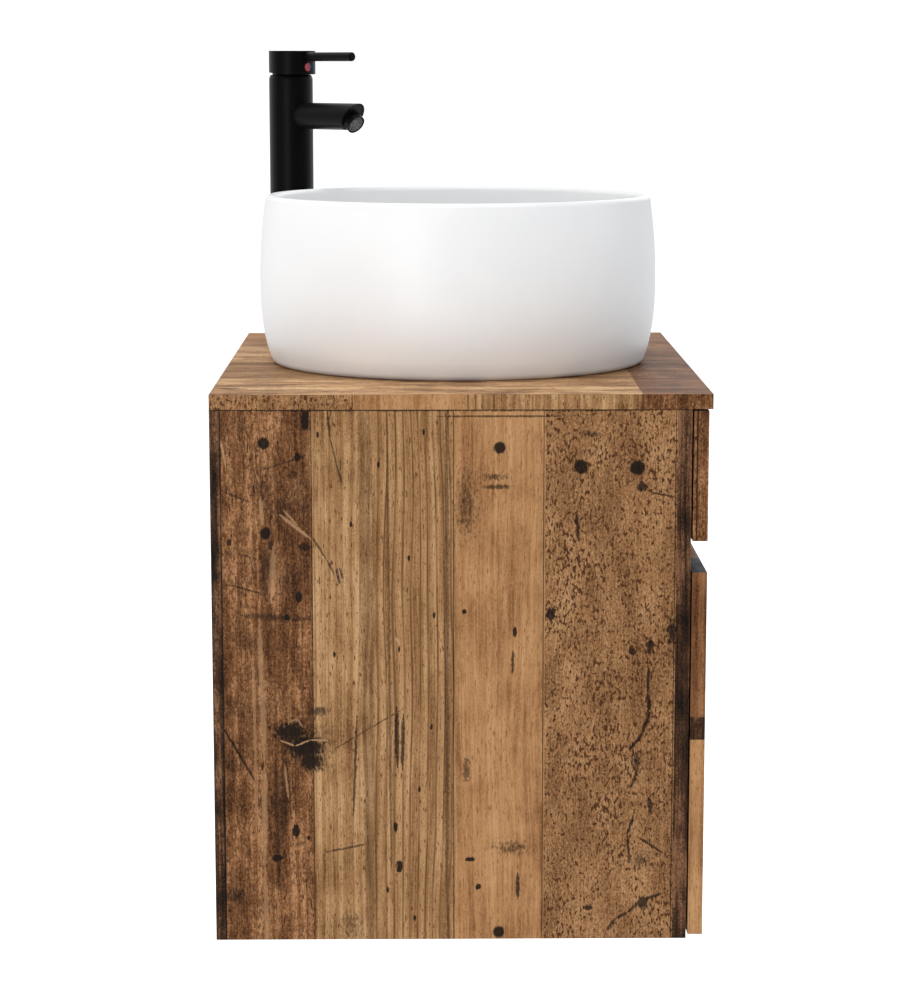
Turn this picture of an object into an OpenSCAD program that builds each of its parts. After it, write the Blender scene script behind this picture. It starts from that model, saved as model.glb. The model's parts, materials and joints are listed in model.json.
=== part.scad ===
// Wall-hung vanity cabinet with two drawers, a round vessel basin, its waste and bottle trap,
// and a tall single-lever basin mixer.
// Axes: the wall is the plane y = 0, the front faces -Y, +Z is up and X runs along the wall.
// The origin is midway between the two wall bolts, on the wall.

/* [Cabinet] */
// Overall width of the cabinet and worktop
cabinet_w = 500; // [480:1:520]
// Depth of the worktop from the wall
cabinet_d = 400; // [395:1:420]
// Height from the worktop's surface to the foot of the side panels
cabinet_h = 448; // [444:1:460]
// Thickness of the worktop, sides, fronts and rails
board_t = 12; // [11:0.5:13]
// Height of the worktop's surface above the wall bolts
worktop_rise = 60; // [60:1:64]
// Overhang of the worktop in front of the drawer fronts
front_overhang = 3; // [2:0.5:5]
// Gap between the fronts and the cabinet behind and above them
front_gap = 1.5; // [1:0.5:3]

/* [Drawers] */
// Height of the upper drawer's front
upper_front_h = 105; // [103:1:110]
// Finger gap between the two fronts
finger_gap = 25.5; // [20:0.5:28]
// Gap from the lower front's bottom edge up to the foot of the side panels
foot_gap = 3; // [2:0.5:5]
// Depth of the drawer boxes
drawer_d = 305; // [301:1:310]
// Height of the upper drawer's box
upper_box_h = 70; // [60:1:72]
// Height of the lower drawer's box
lower_box_h = 200; // [150:1:210]
// Length of the runners
runner_l = 300; // [280:1:300]

/* [Basin] */
// Largest diameter of the basin, at mid-height
basin_dia = 346; // [340:1:350]
// Diameter of the rim
basin_rim_dia = 335; // [330:1:338]
// Height of the basin above the worktop
basin_h = 146; // [140:1:150]
// Distance from the wall to the basin's centre
basin_back = 200; // [196:1:202]
// Thickness of the basin's wall at the rim
basin_rim_t = 9; // [7:0.5:11]

/* [Tap] */
// Diameter of the tap's body
tap_dia = 40.2; // [40:0.1:42]
// Height of the tap above the worktop
tap_h = 270; // [262:1:280]
// Distance from the wall to the tap's axis
tap_back = 48; // [46:1:50]
// Distance from the cabinet's middle to the tap's axis
tap_side = 150; // [148:1:158]
// Reach of the spout from the tap's axis
spout_reach = 91; // [85:1:100]
// Reach of the lever from the tap's axis
lever_reach = 83; // [70:1:95]

/* [Hidden] */
$fn = 64;
// overshoot of a cutting shape past the surface that it cuts
cut = 1;

// colours
wood_light = "#b48c5f";
inner_board = "#c9b08a";
steel = "#b9bcc0";
black_metal = "#17181a";
white_plastic = "#e9e9e6";
ceramic = "#f1f1f0";

// levels and planes of the cabinet
top_z = worktop_rise;
under_z = top_z - board_t;
foot_z = top_z - cabinet_h;
side_in = cabinet_w / 2 - board_t;
front_y = -(cabinet_d - front_overhang);
front_back_y = front_y + board_t;
panel_front_y = front_back_y + front_gap;
rail_y = -27;
rail_h = 60;
back_rail_top_z = -140;
stretcher_z = -75;
stretcher_y = -340;
stretcher_d = 60;

// drawer fronts
front_w = cabinet_w - 2;
upper_front_top = under_z - front_gap;
upper_front_foot = upper_front_top - upper_front_h;
lower_front_top = upper_front_foot - finger_gap;
lower_front_foot = foot_z + foot_gap;

// drawer boxes
runner_t = 12.7;
drawer_out = side_in - runner_t;
drawer_in = drawer_out - board_t;
box_front_y = front_back_y;
box_back_y = box_front_y + drawer_d;
upper_box_z = upper_front_foot + 8.5;
lower_box_z = foot_z + board_t + 5;
groove_d = 5;
groove_lift = 6;
bottom_t = 6;
recess_r = 62;
recess_wall = 8;
recess_y = -basin_back + 7;

// runners: three nested channels, measured t inwards from the side panel
runner_skin = 1.2;
runner_front_y = panel_front_y + 2.5;
upper_runner_z = upper_box_z + 35;
lower_runner_z = lower_box_z + 45;
runner_screw_r = 1.75;
runner_screw_gaps = [20, 150, 280];
runner_head_r = 3.4;
runner_head_h = 1.6;
side_bite = 9;
front_screw_r = 2;
front_head_r = 3.8;
front_head_h = 1.8;
front_bite = 8;

// wall rail and hangers
bolt_spacing = 350;
bolt_hole_r = 4.25;
wall_rail_l = 450;
hanger_x = 218;
hanger_screw_y = [-30, -50];
hanger_z = 20;

// dowels
dowel_r = 4;
dowel_l = 24;
dowel_in_face = 8;

// basin, waste and trap
basin_y = -basin_back;
basin_widest = 72;
basin_foot_r = 156.5;
bowl_floor = 22;
waste_r = 20.9;
waste_bore_r = 18.5;
waste_hole_r = 22.5;
waste_worktop_r = 25;
flange_r = 31.5;
flange_t = 2.5;
plug_r = 30.6;
stem_r = 3.5;
guide_clear = 0.06;
guide_z = bowl_floor - 26;
guide_h = 8;
waste_foot_z = -15;
collar_r = 23.5;
collar_h = 8;
head_foot_z = -70;
trap_pipe_z = -48;
trap_pipe_r = 16;
pipe_socket_l = 48;
plain_end_l = 45;

// tap: s is measured from its axis along the spout, which points at the basin's middle
tap_angle = 225;
tap_r = tap_dia / 2;
body_h = tap_h - 21.8;
cap_r = 21.35;
cap_shift = 1.9;
cap_foot = tap_h - 20.4;
cap_slant = 2.95;
cap_hollow_r = 17.4;
spout_r = 12;
spout_bore_r = 8;
spout_z = 211;
spout_root_s = 8;
spout_cut_angle = 35;
spout_face_s = spout_reach - spout_r * tan(spout_cut_angle);
aerator_r = 8.9;
aerator_out = 7.6;
aerator_drop = 3.4;
aerator_thread_r = 7.6;
aerator_thread_l = 9;
lever_r = 4.1;
lever_z = tap_h - 5.5;
lever_root_s = 8;
index_r = 3.7;
index_h = 2.3;
cartridge_r = 16.4;
cartridge_neck_r = 15;
cartridge_floor = body_h - 22;
cartridge_nut_r = 17;
cartridge_nut_z = body_h - 6;
foot_gasket_t = 1.5;
tap_worktop_r = 17.5;
inlet_r = 4.5;
inlet_feed_r = 3.2;
inlet_thread_l = 14;
inlet_s = 4;
inlet_apart = 8;
mixed_s = 12;
mixed_r = 4;
stud_s = -9;
stud_r = 4;

// ---------- helpers ----------

// box from its lowest to its highest corner
module block(low, high) {
    translate(low) cube(high - low);
}

// round rod from a point along an axis given as rotation angles
module rod(at, angles, r, l) {
    translate(at) rotate(angles) cylinder(r = r, h = l);
}

// hollow round ring standing on z
module ring(z, h, r_out, r_in) {
    translate([0, 0, z]) difference() {
        cylinder(r = r_out, h = h);
        translate([0, 0, -cut]) cylinder(r = r_in, h = h + 2 * cut);
    }
}

// six-sided nut standing on z
module hex_nut(z, h, r_out, r_in) {
    translate([0, 0, z]) difference() {
        cylinder(r = r_out, h = h, $fn = 6);
        translate([0, 0, -cut]) cylinder(r = r_in, h = h + 2 * cut);
    }
}

// the basin's own axis, on the worktop's surface
module at_basin() {
    translate([0, basin_y, top_z]) children();
}

// the trap's axis, at the level of the wall bolts
module at_trap() {
    translate([0, basin_y, 0]) children();
}

// the tap's own axis, on the worktop's surface, with +X along the spout
module at_tap() {
    translate([tap_side, -tap_back, top_z]) rotate(tap_angle) children();
}

// points of an arc, from one angle to another
function arc(centre, r, a0, a1, steps) =
    [for (i = [0:steps]) let (a = a0 + (a1 - a0) * i / steps) centre + r * [cos(a), sin(a)]];

// ---------- carcass ----------

// dowels that stand up from the side panels into the worktop
module worktop_dowels() {
    for (side = [-1, 1], y = [-60, -200, -340])
        rod([side * (side_in + board_t / 2), y, under_z + dowel_in_face - dowel_l], [0, 0, 0],
            dowel_r, dowel_l);
}

// dowels that run across from each side panel into the boards between them
module cross_dowels() {
    bottom_spots = [for (y = [-60, -320]) [y, foot_z + board_t / 2]];
    rail_spots = [for (z = [back_rail_top_z, foot_z + board_t], rise = [12, rail_h - 12])
        [rail_y + board_t / 2, z + rise]];
    stretcher_spots = [for (in = [15, stretcher_d - 15])
        [stretcher_y + in, stretcher_z + board_t / 2]];
    for (side = [-1, 1], spot = concat(bottom_spots, rail_spots, stretcher_spots))
        rod([side * (side_in + dowel_in_face), spot[0], spot[1]], [0, -side * 90, 0],
            dowel_r, dowel_l);
}

module carcass_dowels() {
    color(inner_board) {
        worktop_dowels();
        cross_dowels();
    }
}

module worktop() {
    color(wood_light) difference() {
        block([-cabinet_w / 2, -cabinet_d, under_z], [cabinet_w / 2, 0, top_z]);
        translate([0, basin_y, under_z - cut]) cylinder(r = waste_worktop_r, h = board_t + 2 * cut);
        translate([tap_side, -tap_back, under_z - cut])
            cylinder(r = tap_worktop_r, h = board_t + 2 * cut);
        worktop_dowels();
    }
}

// one side panel, with the holes of its dowels and of the screws that it holds
module side_panel(side) {
    x = side * (side_in + board_t / 2);
    color(wood_light) difference() {
        translate([x, panel_front_y / 2, (foot_z + under_z) / 2])
            cube([board_t, -panel_front_y, under_z - foot_z], center = true);
        worktop_dowels();
        cross_dowels();
        cabinet_screw_shanks(side);
    }
}

module side_panel_left() {
    side_panel(-1);
}

module side_panel_right() {
    side_panel(1);
}

// a board that spans between the side panels
module cross_board(y0, y1, z0, h) {
    difference() {
        block([-side_in, y0, z0], [side_in, y1, z0 + h]);
        cross_dowels();
    }
}

module bottom_panel() {
    color(wood_light) cross_board(panel_front_y, 0, foot_z, board_t);
}

module back_rail_top() {
    color(inner_board) cross_board(rail_y, rail_y + board_t, back_rail_top_z, rail_h);
}

module back_rail_bottom() {
    color(inner_board) cross_board(rail_y, rail_y + board_t, foot_z + board_t, rail_h);
}

module mid_stretcher() {
    color(inner_board) cross_board(stretcher_y, stretcher_y + stretcher_d, stretcher_z, board_t);
}

// ---------- wall fixing ----------

// outline [y, z] of the wall rail: a Z whose upper edge stands clear of the wall
rail_t = 2;
rail_outline = [[0, -20], [0, 14], [-8, 14], [-8, 28], [-8 - rail_t, 28],
    [-8 - rail_t, 14 - rail_t], [-rail_t, 14 - rail_t], [-rail_t, -20]];

// outline [y, z] of a hanger's hook, with the slot that drops over the rail's upper edge
hook_outline = [[-14, 0], [-14, 31], [-3, 31], [-3, 17], [-5.5, 17], [-5.5, 28], [-11, 28],
    [-11, 0]];

// steel rail that is bolted to the wall; its upper edge carries the hangers
module wall_rail() {
    color(steel) difference() {
        translate([-wall_rail_l / 2, 0, 0]) rotate([90, 0, 90])
            linear_extrude(wall_rail_l) polygon(rail_outline);
        for (side = [-1, 1])
            rod([side * bolt_spacing / 2, cut, 0], [90, 0, 0], bolt_hole_r, rail_t + 2 * cut);
    }
}

// hanger: a housing on the side panel with a steel hook that drops over the wall rail
module hanger(side) {
    color(steel) mirror([side < 0 ? 1 : 0, 0, 0]) difference() {
        union() {
            block([hanger_x, -65, -6], [side_in, -14, 46]);
            translate([hanger_x - 14, 0, 0]) rotate([90, 0, 90])
                linear_extrude(20) polygon(hook_outline);
        }
        for (z = [8, 32])
            rod([hanger_x + 10, -66, z], [-90, 0, 0], 3, 8);
        for (y = hanger_screw_y)
            rod([hanger_x - cut, y, hanger_z], [0, 90, 0], runner_screw_r, 30);
    }
}

module hanger_left() {
    hanger(-1);
}

module hanger_right() {
    hanger(1);
}

// ---------- screws ----------

// pan-head screw along +X: the head ends at x = 0 and the shank runs on from there
module screw(r, head_r, head_h, shank_l) {
    rotate([0, 90, 0]) cylinder(r = r, h = shank_l);
    rotate([0, -90, 0]) cylinder(r = head_r, h = head_h);
}

// small screw of the runners and hangers
module side_screw(shank_l) {
    screw(runner_screw_r, runner_head_r, runner_head_h, shank_l);
}

// shanks of the screws that enter one side panel
module cabinet_screw_shanks(side) {
    mirror([side < 0 ? 1 : 0, 0, 0]) {
        for (z = [upper_runner_z, lower_runner_z], gap = runner_screw_gaps)
            rod([side_in - runner_skin, runner_front_y + gap, z], [0, 90, 0], runner_screw_r,
                runner_skin + side_bite);
        for (y = hanger_screw_y)
            rod([hanger_x, y, hanger_z], [0, 90, 0], runner_screw_r,
                side_in - hanger_x + side_bite);
    }
}

module cabinet_screws() {
    color(steel) for (side = [0, 1]) mirror([side, 0, 0]) {
        for (z = [upper_runner_z, lower_runner_z], gap = runner_screw_gaps)
            translate([side_in - runner_skin, runner_front_y + gap, z])
                side_screw(runner_skin + side_bite);
        for (y = hanger_screw_y)
            translate([hanger_x, y, hanger_z]) side_screw(side_in - hanger_x + side_bite);
    }
}

// places along the front's width where it is screwed to its box, and their heights
function front_screw_spots(z0, h) = [for (x = [-150, 150], rise = [18, h - 14]) [x, z0 + rise]];

// shanks that enter the front through the subfront
module front_screw_shanks(z0, h) {
    for (spot = front_screw_spots(z0, h))
        rod([spot[0], box_front_y + board_t, spot[1]], [90, 0, 0], front_screw_r,
            board_t + front_bite);
}

// shanks that fix a drawer's runner members to its sides
module drawer_runner_shanks(z) {
    for (side = [0, 1]) mirror([side, 0, 0])
        for (gap = runner_screw_gaps)
            rod([drawer_out + runner_skin, runner_front_y + gap - 5, z], [0, -90, 0],
                runner_screw_r, runner_skin + side_bite);
}

module drawer_screws(z0, h, runner_z) {
    color(steel) {
        for (spot = front_screw_spots(z0, h))
            translate([spot[0], box_front_y + board_t, spot[1]]) rotate(-90)
                screw(front_screw_r, front_head_r, front_head_h, board_t + front_bite);
        for (side = [0, 1]) mirror([side, 0, 0])
            for (gap = runner_screw_gaps)
                translate([drawer_out + runner_skin, runner_front_y + gap - 5, runner_z])
                    rotate(180) side_screw(runner_skin + side_bite);
    }
}

module upper_drawer_screws() {
    drawer_screws(upper_box_z, upper_box_h, upper_runner_z);
}

module lower_drawer_screws() {
    drawer_screws(lower_box_z, lower_box_h, lower_runner_z);
}

// ---------- drawers ----------

// a drawer's visible front board
module drawer_front(z0, z1, box_z, box_h) {
    color(wood_light) difference() {
        block([-front_w / 2, front_y, z0], [front_w / 2, front_back_y, z1]);
        front_screw_shanks(box_z, box_h);
    }
}

module upper_front() {
    drawer_front(upper_front_foot, upper_front_top, upper_box_z, upper_box_h);
}

module lower_front() {
    drawer_front(lower_front_foot, lower_front_top, lower_box_z, lower_box_h);
}

// space that a drawer's bottom board fills, in the grooves of the four boards around it
module bottom_space(z0) {
    block([-drawer_in - groove_d, box_front_y + board_t - groove_d, z0 + groove_lift],
        [drawer_in + groove_d, box_back_y - board_t + groove_d, z0 + groove_lift + bottom_t]);
}

module drawer_side(side, z0, h, runner_z) {
    color(inner_board) difference() {
        translate([side * (drawer_in + board_t / 2), box_front_y + drawer_d / 2, z0 + h / 2])
            cube([board_t, drawer_d, h], center = true);
        bottom_space(z0);
        drawer_runner_shanks(runner_z);
    }
}

module drawer_subfront(z0, h) {
    color(inner_board) difference() {
        block([-drawer_in, box_front_y, z0], [drawer_in, box_front_y + board_t, z0 + h]);
        bottom_space(z0);
        front_screw_shanks(z0, h);
    }
}

module drawer_back(z0, h) {
    difference() {
        block([-drawer_in, box_back_y - board_t, z0], [drawer_in, box_back_y, z0 + h]);
        bottom_space(z0);
    }
}

// space of the recess around the trap: a half circle in plan that runs on out of the back
module recess(r, z0, h, past_back = cut) {
    translate([0, recess_y, z0]) linear_extrude(h) {
        circle(r = r);
        translate([-r, 0]) square([2 * r, box_back_y - recess_y + past_back]);
    }
}

module upper_drawer_subfront() {
    drawer_subfront(upper_box_z, upper_box_h);
}

module upper_drawer_side_left() {
    drawer_side(-1, upper_box_z, upper_box_h, upper_runner_z);
}

module upper_drawer_side_right() {
    drawer_side(1, upper_box_z, upper_box_h, upper_runner_z);
}

// two short boards, one on each side of the trap's recess
module upper_drawer_back() {
    color(inner_board) difference() {
        drawer_back(upper_box_z, upper_box_h);
        recess(recess_r + recess_wall, upper_box_z - cut, upper_box_h + 2 * cut);
    }
}

module upper_drawer_bottom() {
    color(inner_board) difference() {
        bottom_space(upper_box_z);
        recess(recess_r, upper_box_z, upper_box_h);
    }
}

// moulded wall around the trap's recess
module trap_surround() {
    floor_z = upper_box_z + groove_lift + bottom_t;
    wall_h = upper_box_h - groove_lift - bottom_t;
    color(white_plastic) difference() {
        recess(recess_r + recess_wall, floor_z, wall_h, 0);
        recess(recess_r, floor_z - cut, wall_h + 2 * cut);
    }
}

module lower_drawer_subfront() {
    drawer_subfront(lower_box_z, lower_box_h);
}

module lower_drawer_side_left() {
    drawer_side(-1, lower_box_z, lower_box_h, lower_runner_z);
}

module lower_drawer_side_right() {
    drawer_side(1, lower_box_z, lower_box_h, lower_runner_z);
}

module lower_drawer_back() {
    color(inner_board) drawer_back(lower_box_z, lower_box_h);
}

module lower_drawer_bottom() {
    color(inner_board) bottom_space(lower_box_z);
}

// ---------- runners ----------

// outlines [t, z] of the three channels of a runner
cabinet_channel = [[0, -22.5], [10.5, -22.5], [10.5, -21.3], [1.2, -21.3], [1.2, 21.3],
    [10.5, 21.3], [10.5, 22.5], [0, 22.5]];
middle_channel = [[2, -20.6], [10.8, -20.6], [10.8, -19.4], [6.2, -19.4], [6.2, 19.4],
    [10.8, 19.4], [10.8, 20.6], [2, 20.6], [2, 19.4], [5, 19.4], [5, -19.4], [2, -19.4]];
drawer_channel = [[7, -18.6], [12.7, -18.6], [12.7, 18.6], [7, 18.6], [7, 17.4], [11.5, 17.4],
    [11.5, -17.4], [7, -17.4]];

// one channel of a runner on the given side, at the given height
module channel(outline, side, z) {
    mirror([side < 0 ? 1 : 0, 0, 0])
        translate([side_in, runner_front_y, z]) rotate([90, 0, 180])
            linear_extrude(runner_l) polygon(outline);
}

module cabinet_member(side, z) {
    color(steel) difference() {
        channel(cabinet_channel, side, z);
        cabinet_screw_shanks(side);
    }
}

module drawer_member(side, z) {
    color(steel) difference() {
        channel(drawer_channel, side, z);
        drawer_runner_shanks(z);
    }
}

module upper_runner_cabinet_left() {
    cabinet_member(-1, upper_runner_z);
}

module upper_runner_cabinet_right() {
    cabinet_member(1, upper_runner_z);
}

module upper_runner_middles() {
    color(steel) for (side = [-1, 1]) channel(middle_channel, side, upper_runner_z);
}

module upper_runner_drawer_left() {
    drawer_member(-1, upper_runner_z);
}

module upper_runner_drawer_right() {
    drawer_member(1, upper_runner_z);
}

module lower_runner_cabinet_left() {
    cabinet_member(-1, lower_runner_z);
}

module lower_runner_cabinet_right() {
    cabinet_member(1, lower_runner_z);
}

module lower_runner_middles() {
    color(steel) for (side = [-1, 1]) channel(middle_channel, side, lower_runner_z);
}

module lower_runner_drawer_left() {
    drawer_member(-1, lower_runner_z);
}

module lower_runner_drawer_right() {
    drawer_member(1, lower_runner_z);
}

// ---------- basin ----------

// outer radius of the basin at a height: widest near mid-height, tighter at the foot
function basin_outer(z) = z < basin_widest
    ? basin_dia / 2 - 10.5 * pow((basin_widest - z) / basin_widest, 2.4)
    : basin_dia / 2 - (basin_dia - basin_rim_dia) / 2
        * pow((z - basin_widest) / (basin_h - basin_widest), 2);

// inner radius: the wall thickens slightly below the rim
function basin_inner(z) = basin_outer(z) - basin_rim_t - 3 * (basin_h - z) / basin_h;

// half section of the basin, from the foot up the outside, over the rim and down the bowl
function basin_section() = let (
    rim_r = basin_rim_t / 2,
    rim_z = basin_h - rim_r,
    rim_mid = basin_outer(rim_z) - rim_r,
    bend_r = 62,
    bend_z = bowl_floor + 2 + bend_r,
    bend_x = basin_inner(bend_z) - bend_r
) concat(
    [[basin_foot_r - 14, 0]],
    arc([basin_foot_r, 7.5], 7.5, -90, -15, 4),
    [for (z = [12:10:132]) [basin_outer(z), z]],
    arc([rim_mid, rim_z], rim_r, 0, 180, 8),
    [for (z = [130:-10:90]) [basin_inner(z), z]],
    arc([bend_x, bend_z], bend_r, 0, -90, 10),
    [[flange_r + 1.5, bowl_floor], [flange_r + 1.5, bowl_floor - flange_t],
        [waste_hole_r, bowl_floor - flange_t], [waste_hole_r, 0], [50, 0], [56, 8],
        [basin_foot_r - 20, 8]]
);

module basin() {
    color(ceramic) at_basin() rotate_extrude($fn = 128) polygon(basin_section());
}

// ---------- waste ----------

// flanged tube that clamps the basin to the worktop, with the plug's guide inside it
module waste_body() {
    color(black_metal) at_basin() {
        ring(bowl_floor - flange_t, flange_t, flange_r, waste_bore_r);
        ring(waste_foot_z - top_z, bowl_floor - flange_t + top_z - waste_foot_z, waste_r,
            waste_bore_r);
        ring(guide_z, guide_h, 7, stem_r + guide_clear);
        for (a = [0, 120, 240])
            rotate(a) block([6, -1, guide_z], [waste_bore_r + 0.5, 1, guide_z + guide_h]);
    }
}

// domed cap with a stem that slides in the guide
module waste_plug() {
    seat_z = bowl_floor + 0.4;
    dome = [for (i = [0:6]) let (x = 1 - i / 6) [plug_r * x, 1.6 + 3 * (1 - x * x)]];
    color(black_metal) at_basin() {
        translate([0, 0, seat_z]) rotate_extrude() polygon(concat([[0, 0], [plug_r, 0]], dome));
        translate([0, 0, guide_z - 10]) cylinder(r = stem_r, h = seat_z - guide_z + 10);
    }
}

module waste_washer() {
    color("#2a2a2a") at_basin() ring(-board_t - 3, 3, 32, waste_r);
}

module waste_nut() {
    color(steel) at_basin() hex_nut(-board_t - 9, 6, 31, waste_r);
}

// ---------- bottle trap ----------

// grip ribs around a vertical nut or collar
module grip_ribs(count, z, h, r) {
    for (i = [0:count - 1])
        rotate(360 * i / count) block([r - 0.5, -1.3, z], [r + 1.5, 1.3, z + h]);
}

// union nut over the collar of the trap's head
module trap_inlet_nut() {
    color(white_plastic) at_trap() {
        ring(waste_foot_z, collar_h, 27, collar_r);
        ring(waste_foot_z + collar_h, 6, 27, waste_r);
        grip_ribs(12, waste_foot_z, collar_h + 6, 27);
    }
}

// head of the trap: inlet collar, dip tube and the side outlet
module trap_head() {
    head_r = 25;
    dip_r = 14;
    color(white_plastic) at_trap() difference() {
        union() {
            translate([0, 0, head_foot_z]) cylinder(r = head_r, h = waste_foot_z - head_foot_z);
            translate([0, 0, head_foot_z - 38]) cylinder(r = dip_r, h = 40);
            ring(waste_foot_z, collar_h, collar_r, waste_r);
            rod([0, 0, trap_pipe_z], [-90, 0, 0], 19, pipe_socket_l);
        }
        translate([0, 0, head_foot_z - 39]) cylinder(r = dip_r - 2, h = 110);
        translate([0, 0, head_foot_z - cut]) ring(0, 46, head_r - 2.5, dip_r);
        rod([0, 18, trap_pipe_z], [-90, 0, 0], trap_pipe_r, 40);
    }
}

// bottle that screws up onto the head
module trap_bottle() {
    color(white_plastic) at_trap() translate([0, 0, head_foot_z - 1]) {
        rotate_extrude() polygon([[0, -62], [26, -62], [30, -58], [30, -19], [32, -17], [32, 0],
            [25, 0], [25, -5], [27, -9], [27, -57], [24, -59], [0, -59]]);
        grip_ribs(18, -16, 15, 32);
    }
}

module trap_outlet_nut() {
    color(white_plastic) at_trap() translate([0, pipe_socket_l, trap_pipe_z])
        rotate([-90, 0, 0]) {
            ring(0, 12, 21, trap_pipe_r);
            grip_ribs(12, 0, 12, 21);
        }
}

// pipe from the trap to the wall, with a stop ring that leaves a plain end for the wall's socket
module trap_outlet_pipe() {
    pipe_l = basin_back - 26;
    bore_r = trap_pipe_r - 1.6;
    color(white_plastic) at_trap() translate([0, 26, trap_pipe_z]) rotate([-90, 0, 0]) {
        ring(0, pipe_l, trap_pipe_r, bore_r);
        ring(pipe_l - plain_end_l - 3, 3, trap_pipe_r + 2, bore_r);
    }
}

// ---------- tap ----------

// body: solid below the cartridge, with two inlets, the mixed water's way and the stud's hole
module tap_body() {
    shoulder = 5;
    color(black_metal) at_tap() difference() {
        rotate_extrude() polygon(concat(
            [[0, foot_gasket_t], [tap_r, foot_gasket_t]],
            [for (i = [0:5]) let (a = 90 * i / 5)
                [tap_r - 2.2 * (1 - cos(a)), body_h - shoulder + shoulder * sin(a)]],
            [[0, body_h]]));
        translate([0, 0, cartridge_floor]) cylinder(r = cartridge_r + 0.1, h = 40);
        translate([0, 0, cartridge_nut_z]) cylinder(r = cartridge_nut_r, h = 20);
        for (side = [-1, 1]) translate([inlet_s, side * inlet_apart, 0]) {
            cylinder(r = inlet_r, h = foot_gasket_t + inlet_thread_l);
            cylinder(r = inlet_feed_r, h = cartridge_floor + cut);
        }
        translate([stud_s, 0, 0]) cylinder(r = stud_r, h = 20);
        translate([mixed_s, 0, spout_z])
            cylinder(r = mixed_r, h = cartridge_floor - spout_z + cut);
        rod([spout_root_s, 0, spout_z], [0, 90, 0], spout_r, 20);
    }
}

// spout: a level tube whose end is cut to face outwards and down
module tap_spout() {
    color(black_metal) at_tap() difference() {
        rod([spout_root_s, 0, spout_z], [0, 90, 0], spout_r, spout_reach - spout_root_s);
        rod([mixed_s, 0, spout_z], [0, 90, 0], spout_bore_r, spout_face_s - 9 - mixed_s);
        translate([mixed_s, 0, spout_z]) cylinder(r = mixed_r, h = 20);
        at_spout_face() translate([-30, -30, 0]) cube(60);
        at_aerator() translate([0, 0, -aerator_thread_l])
            cylinder(r = aerator_thread_r, h = aerator_thread_l + cut);
    }
}

// the middle of the cut face, with +Z out of the face and +X down along it
module at_spout_face() {
    translate([spout_face_s, 0, spout_z]) rotate([0, 90 + spout_cut_angle, 0]) children();
}

// the aerator's place, low on the cut face
module at_aerator() {
    at_spout_face() translate([aerator_drop, 0, 0]) children();
}

// aerator: a threaded root, a collar that stands out of the spout and a sunk screen
module aerator() {
    color(black_metal) at_tap() at_aerator() difference() {
        union() {
            translate([0, 0, -aerator_thread_l])
                cylinder(r = aerator_thread_r, h = aerator_thread_l);
            cylinder(r = aerator_r, h = aerator_out);
        }
        translate([0, 0, aerator_out - 1]) cylinder(r = aerator_r - 1.4, h = 2);
        translate([0, 0, -aerator_thread_l - cut])
            cylinder(r = aerator_thread_r - 1.8, h = aerator_thread_l + aerator_out - 2);
    }
}

module tap_base_seal() {
    color("#222222") at_tap() ring(0, foot_gasket_t, tap_r - 0.6, 16);
}

module tap_stud() {
    color(steel) at_tap() translate([stud_s, 0, -70]) cylinder(r = stud_r, h = 90);
}

module tap_fixing_nut() {
    color("#c8a84b") at_tap() translate([stud_s, 0, 0]) hex_nut(-board_t - 17, 14, 7.2, stud_r);
}

// horseshoe washer under the worktop, open towards the inlets
module tap_washer() {
    washer_t = 3;
    color(steel) at_tap() translate([0, 0, -board_t - washer_t]) difference() {
        cylinder(r = 21.5, h = washer_t);
        translate([stud_s, 0, -cut]) cylinder(r = stud_r, h = washer_t + 2 * cut);
        block([-3, -14, -cut], [30, 14, washer_t + cut]);
    }
}

module cartridge() {
    color(white_plastic) at_tap() difference() {
        union() {
            translate([0, 0, cartridge_floor])
                cylinder(r = cartridge_r, h = cartridge_nut_z - cartridge_floor);
            translate([0, 0, cartridge_nut_z])
                cylinder(r = cartridge_neck_r, h = body_h + 1 - cartridge_nut_z);
        }
        translate([0, 0, body_h - 8]) cylinder(r = 8, h = 20);
    }
}

// ring nut that holds the cartridge down; its bevelled rim shows in the gap under the cap
module cartridge_nut() {
    bevel = 0.8;
    rim_z = body_h + 2.2;
    bore_r = cartridge_neck_r + 0.1;
    color(black_metal) at_tap() rotate_extrude() polygon([
        [bore_r, cartridge_nut_z], [cartridge_nut_r, cartridge_nut_z],
        [cartridge_nut_r, rim_z - bevel], [cartridge_nut_r - bevel, rim_z], [bore_r, rim_z]]);
}

module cartridge_stem() {
    ball_z = body_h - 7.5;
    color(steel) at_tap() {
        translate([0, 0, ball_z]) cylinder(r = 7.6, h = 3);
        translate([0, 0, ball_z]) cylinder(r = 4.5, h = 15);
    }
}

// cap over the cartridge: its foot slants down towards the lever
module handle_cap() {
    skirt = 3;
    color(black_metal) at_tap() difference() {
        translate([cap_shift, 0, cap_foot - skirt])
            cylinder(r = cap_r, h = tap_h - cap_foot + skirt);
        translate([0, 0, cap_foot - skirt - cut]) cylinder(r = cap_hollow_r, h = 15.5);
        translate([cap_shift, 0, cap_foot]) rotate([0, cap_slant, 0])
            translate([-40, -40, -20]) cube([80, 80, 20]);
        rod([lever_root_s, 0, lever_z], [0, 90, 0], lever_r, 40);
        at_index() cylinder(r = index_r, h = 6);
    }
}

// the index button's seat on the cap, below the lever, with +Z outwards
module at_index() {
    translate([cap_shift + cap_r - 2, 0, tap_h - 14.8]) rotate([0, 90, 0]) children();
}

module lever() {
    lever_l = lever_reach - lever_root_s;
    tip_r = 1.5;
    color(black_metal) at_tap() translate([lever_root_s, 0, lever_z]) rotate([0, 90, 0])
        rotate_extrude() polygon(concat([[0, 0], [lever_r, 0]],
            arc([lever_r - tip_r, lever_l - tip_r], tip_r, 0, 90, 4), [[0, lever_l]]));
}

module index_button() {
    color("#9c2b30") at_tap() at_index() cylinder(r = index_r, h = index_h);
}

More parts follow.
